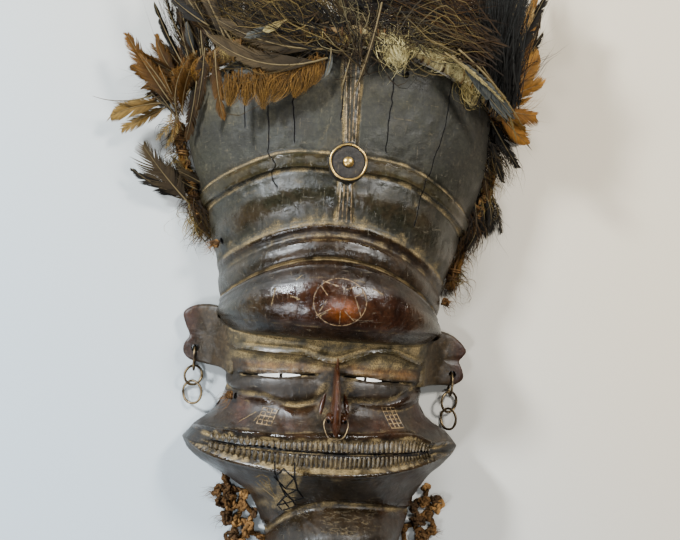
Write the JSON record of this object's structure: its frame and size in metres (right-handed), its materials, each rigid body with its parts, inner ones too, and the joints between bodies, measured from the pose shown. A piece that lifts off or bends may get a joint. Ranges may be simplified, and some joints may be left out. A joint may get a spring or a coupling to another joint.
{
  "type": "chihongo mask",
  "caption": "Carved wooden face mask with a tall flaring coiffure, feather crown, ear chains and chin netting, lying on its back rim.",
  "frame": {"origin": "on the floor, below the middle of the whole object's box", "axes": "+Y from the chin to the crown, +Z out of the face, +X to the right of a viewer who faces it"},
  "size_m": [0.3712, 0.5992, 0.0982],
  "materials": {
    "wood": "dark polished patina, dusty in the creases",
    "brass": "dull, tarnished",
    "iron": "brown wire, dull sheen",
    "feather": "matt barbs with a soft sheen",
    "hide": "raw, dusty, downy",
    "fibre": "dry twisted bast"
  },
  "bodies": {
    "root": {"carved_mask": "wood", "boss_wire_ring": "brass", "boss_tack": "brass", "nose_ring": "iron", "left_ear_link_1": "iron", "left_ear_link_2": "iron", "left_ear_link_3": "iron", "right_ear_link_1": "iron", "right_ear_link_2": "iron", "right_ear_link_3": "iron", "left_temple_knot": "fibre", "left_cheek_knot": "fibre", "right_temple_knot": "fibre", "feather_binding": "hide", "left_side_binding": "fibre", "right_side_binding": "fibre", "crown_feathers_1": "feather", "crown_feathers_2": "feather", "crown_feathers_3": "feather", "crown_feathers_4": "feather", "crown_feathers_5": "feather", "crown_feathers_6": "feather", "crown_feathers_7": "feather", "crown_feathers_8": "feather", "crown_feathers_9": "feather", "crown_feathers_10": "feather", "crown_feathers_11": "feather", "crown_feathers_12": "feather", "side_feathers_1": "feather", "side_feathers_2": "feather", "side_feathers_3": "feather", "chin_net": "fibre"}
  },
  "joints": []
}
